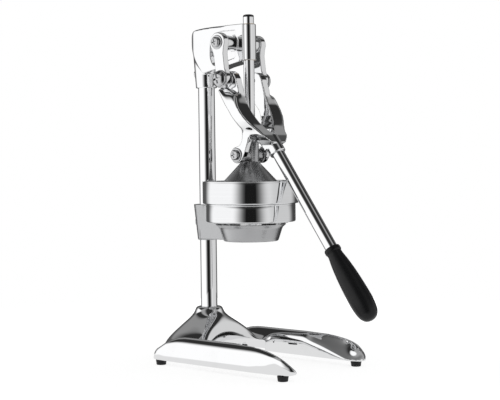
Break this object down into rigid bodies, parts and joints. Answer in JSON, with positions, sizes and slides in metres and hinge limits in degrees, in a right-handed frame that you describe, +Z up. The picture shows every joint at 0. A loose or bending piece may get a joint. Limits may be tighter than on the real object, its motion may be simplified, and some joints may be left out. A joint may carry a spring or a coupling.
{
  "type": "lever citrus juice press",
  "caption": "Free-standing lever citrus press: horseshoe base, column, head, guided press rod with cone, strainer cup, juice funnel, side links and a handled toggle lever.",
  "frame": {"origin": "on the table, under the middle of the box around the whole press at rest (lever down)", "axes": "+Z up, the user and the handle are on the -Y side, the press is a mirror image across X = 0"},
  "size_m": [0.1876, 0.3512, 0.515],
  "materials": {
    "base_chrome": "polished chrome over a cast metal base, with soft casting waves",
    "column_chrome": "bright chromed tube with fine lengthwise grinding",
    "casting_chrome": "polished chrome over cast arms and head",
    "link_chrome": "polished chrome links with rounded edges",
    "cup_steel": "spun stainless steel, polished, with faint rings",
    "bracket_metal": "satin cast aluminium, slightly grainy",
    "cone_metal": "satin cast aluminium cone with turned rings",
    "reamer_metal": "satin cast aluminium",
    "screw_steel": "zinc plated steel with turned faces",
    "bush_bronze": "oiled sintered bronze",
    "foot_rubber": "moulded black rubber",
    "cap_rubber": "moulded black rubber",
    "grip_plastic": "black moulded grip, satin, with a fine texture"
  },
  "bodies": {
    "stand": {"base": "base_chrome", "rubber_feet": "foot_rubber", "foot_screws": "screw_steel", "column": "column_chrome", "column_plug": "screw_steel", "column_bolt": "screw_steel", "cup_bracket": "bracket_metal", "bracket_screw": "screw_steel", "juice_funnel": "cup_steel", "strainer_cup": "cup_steel", "reamer": "reamer_metal", "head": "casting_chrome", "head_screw": "screw_steel", "rod_bushes": "bush_bronze"},
    "press": {"press_rod": "column_chrome", "rod_cap": "cap_rubber", "press_cone": "cone_metal", "cone_pin": "screw_steel", "lower_pivot_screws": "screw_steel", "lower_pivot_washers": "screw_steel"},
    "lever": {"lever_yoke": "casting_chrome", "lug_bushes": "bush_bronze", "knee_screws": "screw_steel", "knee_washers": "screw_steel", "handle_tube": "column_chrome", "grip": "grip_plastic"},
    "links": {"link_left": "link_chrome", "link_right": "link_chrome", "link_bushes": "bush_bronze", "upper_pivot_screws": "screw_steel", "upper_pivot_washers": "screw_steel"}
  },
  "joints": [
    {"name": "rod_slide", "type": "slide", "parent": "stand", "child": "press", "axis": [0, 0, 1], "range_m": [0, 0.072]},
    {"name": "lever_hinge", "type": "hinge", "parent": "press", "child": "lever", "pos_m": [0, 0.0512, 0.3094], "axis": [-1, 0, 0], "range_deg": [0, 34.44]},
    {"name": "link_hinge", "type": "hinge", "parent": "lever", "child": "links", "pos_m": [0, 0.06533, 0.4197], "axis": [-1, 0, 0], "range_deg": [-121.99, 0]}
  ],
  "couplings": [
    {"joint": "lever_hinge", "follows": "rod_slide", "rad_per_m": 8.3393},
    {"joint": "link_hinge", "follows": "rod_slide", "rad_per_m": -29.56}
  ]
}
